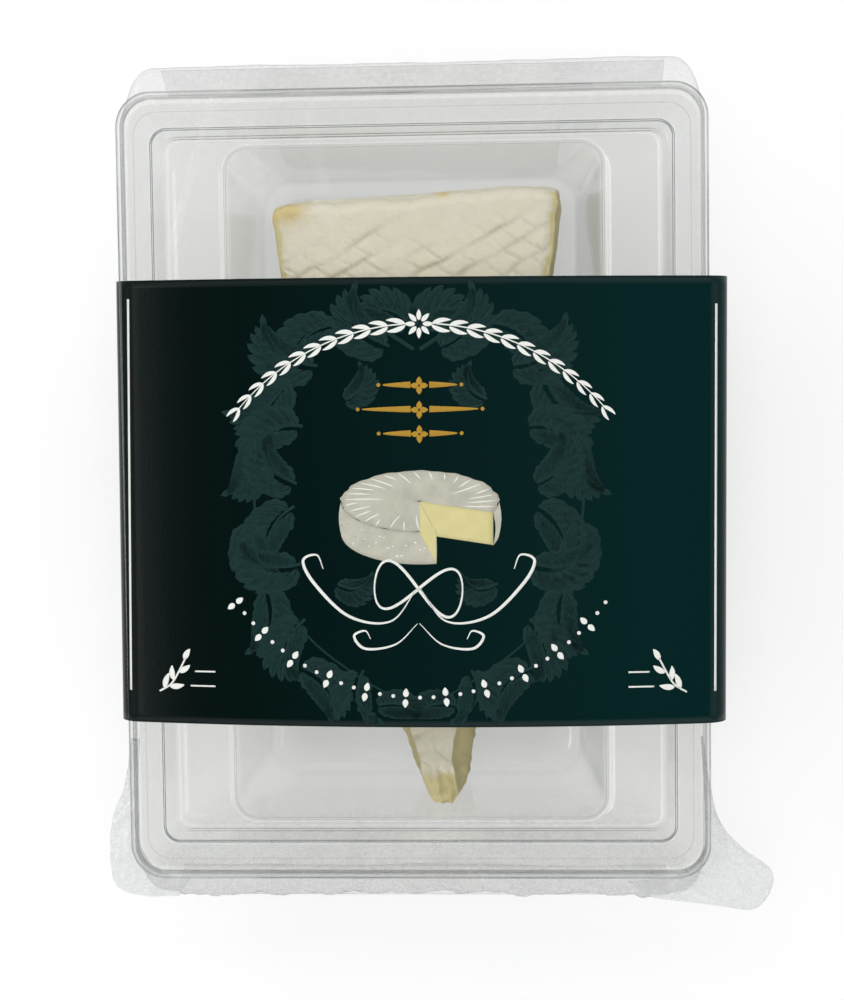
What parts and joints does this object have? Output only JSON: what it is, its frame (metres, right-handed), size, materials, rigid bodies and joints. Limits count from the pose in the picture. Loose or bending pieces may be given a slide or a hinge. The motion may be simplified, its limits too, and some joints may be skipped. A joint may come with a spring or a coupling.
{
  "type": "packed vegan brie wedge",
  "caption": "Wedge of brie-style cheese in a clear formed tray with ledges, sealed in film, with a wide dark card sleeve round the middle.",
  "frame": {"origin": "on the sleeve's flat back, which the pack rests on, under the middle of the tray", "axes": "+Z out of the shown front, +Y from the wedge's tip towards its wide end, +X to the right as seen from the front"},
  "size_m": [0.1504, 0.1881, 0.0475],
  "materials": {
    "clear_tray": "clear formed plastic, glossy",
    "cheese": "cream bloomy rind over pale yellow paste, soft and matt",
    "clear_film": "thin clear film, glossy, a little crinkled",
    "card": "printed card, dark teal green with a satin sheen"
  },
  "bodies": {
    "root": {"tray": "clear_tray", "cheese_wedge": "cheese", "film_bag": "clear_film", "sleeve": "card"}
  },
  "joints": []
}
